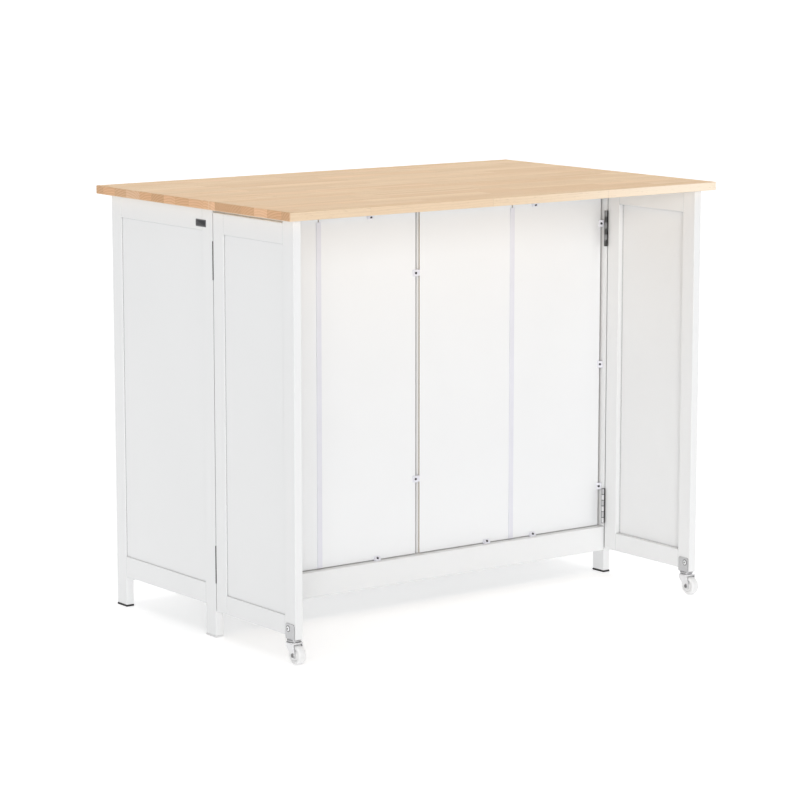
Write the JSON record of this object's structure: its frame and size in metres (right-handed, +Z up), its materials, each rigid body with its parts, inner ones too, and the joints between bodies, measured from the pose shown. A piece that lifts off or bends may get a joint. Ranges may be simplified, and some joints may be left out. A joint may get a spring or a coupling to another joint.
{
  "type": "drop leaf kitchen island",
  "caption": "Kitchen island with a wooden worktop whose hinged leaf rests on swinging gates with casters, over a white cabinet with drawers and doors.",
  "frame": {"origin": "on the floor, under the middle of the worktop and the raised leaf together", "axes": "+X along the worktop, +Y towards the drawers and doors with the leaf on the -Y side, +Z up"},
  "size_m": [1.12, 0.73, 0.915],
  "materials": {
    "white_paint": "satin white paint on wood",
    "hardboard": "white coated hardboard",
    "worktop_wood": "finger-jointed pale wood, clear satin lacquer",
    "white_plastic": "smooth moulded",
    "wheel_plastic": "smooth moulded nylon",
    "black_plastic": "matt black",
    "zinc_steel": "zinc plated, pressed",
    "knob_steel": "satin nickel",
    "dark_screws": "blackened"
  },
  "bodies": {
    "cabinet": {"worktop": "worktop_wood", "drop_leaf": "worktop_wood", "leaf_hinge_plates": "zinc_steel", "leaf_hinge_leaves": "zinc_steel", "leg_back_left": "white_paint", "leg_back_right": "white_paint", "leg_front_left": "white_paint", "leg_front_right": "white_paint", "side_rails_left": "white_paint", "side_rails_right": "white_paint", "side_panel_left": "white_paint", "side_panel_right": "white_paint", "bottom_board": "white_paint", "centre_partition": "white_paint", "back_top_rail": "white_paint", "back_bottom_rail": "white_paint", "front_rails": "white_paint", "back_battens": "white_paint", "back_panel_left": "hardboard", "back_panel_right": "hardboard", "back_joint_strips": "white_plastic", "panel_clips": "white_plastic", "clip_screws": "dark_screws", "shelves": "white_paint", "shelf_pins": "zinc_steel", "leg_glides": "black_plastic", "drawer_runners": "zinc_steel", "gate_hinge_plates": "zinc_steel", "door_hinge_plates": "zinc_steel", "door_catches": "white_plastic"},
    "gate_left": {"gate_left_hinge_stile": "white_paint", "gate_left_end_stile": "white_paint", "gate_left_rails": "white_paint", "gate_left_panel": "white_paint", "gate_left_hinge_leaves": "zinc_steel", "caster_left_bracket": "zinc_steel"},
    "caster_left": {"caster_left_fork": "zinc_steel"},
    "caster_wheel_left": {"caster_left_wheel": "wheel_plastic"},
    "drawer_left": {"drawer_left_front": "white_paint", "drawer_left_box": "white_paint", "drawer_left_slides": "zinc_steel", "drawer_left_knob": "knob_steel"},
    "door_left": {"door_left_frame": "white_paint", "door_left_panel": "white_paint", "door_left_fittings": "knob_steel"},
    "gate_right": {"gate_right_hinge_stile": "white_paint", "gate_right_end_stile": "white_paint", "gate_right_rails": "white_paint", "gate_right_panel": "white_paint", "gate_right_hinge_leaves": "zinc_steel", "caster_right_bracket": "zinc_steel"},
    "caster_right": {"caster_right_fork": "zinc_steel"},
    "caster_wheel_right": {"caster_right_wheel": "wheel_plastic"},
    "drawer_right": {"drawer_right_front": "white_paint", "drawer_right_box": "white_paint", "drawer_right_slides": "zinc_steel", "drawer_right_knob": "knob_steel"},
    "door_right": {"door_right_frame": "white_paint", "door_right_panel": "white_paint", "door_right_fittings": "knob_steel"}
  },
  "joints": [
    {"name": "gate_left_fold", "type": "hinge", "parent": "cabinet", "child": "gate_left", "pos_m": [-0.514, -0.0535, 0.1], "axis": [0, 0, 1], "range_deg": [0, 90]},
    {"name": "caster_left_swivel", "type": "hinge", "parent": "gate_left", "child": "caster_left", "pos_m": [-0.528, -0.324, 0.047], "axis": [0, 0, 1], "continuous": true},
    {"name": "caster_left_roll", "type": "hinge", "parent": "caster_left", "child": "caster_wheel_left", "pos_m": [-0.528, -0.336, 0.02], "axis": [1, 0, 0], "continuous": true},
    {"name": "drawer_left_slide", "type": "slide", "parent": "cabinet", "child": "drawer_left", "axis": [0, 1, 0], "range_m": [0, 0.25]},
    {"name": "door_left_swing", "type": "hinge", "parent": "cabinet", "child": "door_left", "pos_m": [-0.5175, 0.345, 0.12], "axis": [0, 0, 1], "range_deg": [0, 110]},
    {"name": "gate_right_fold", "type": "hinge", "parent": "cabinet", "child": "gate_right", "pos_m": [0.514, -0.0535, 0.1], "axis": [0, 0, -1], "range_deg": [0, 90]},
    {"name": "caster_right_swivel", "type": "hinge", "parent": "gate_right", "child": "caster_right", "pos_m": [0.528, -0.324, 0.047], "axis": [0, 0, 1], "continuous": true},
    {"name": "caster_right_roll", "type": "hinge", "parent": "caster_right", "child": "caster_wheel_right", "pos_m": [0.528, -0.336, 0.02], "axis": [1, 0, 0], "continuous": true},
    {"name": "drawer_right_slide", "type": "slide", "parent": "cabinet", "child": "drawer_right", "axis": [0, 1, 0], "range_m": [0, 0.25]},
    {"name": "door_right_swing", "type": "hinge", "parent": "cabinet", "child": "door_right", "pos_m": [0.5175, 0.345, 0.12], "axis": [0, 0, -1], "range_deg": [0, 110]}
  ]
}
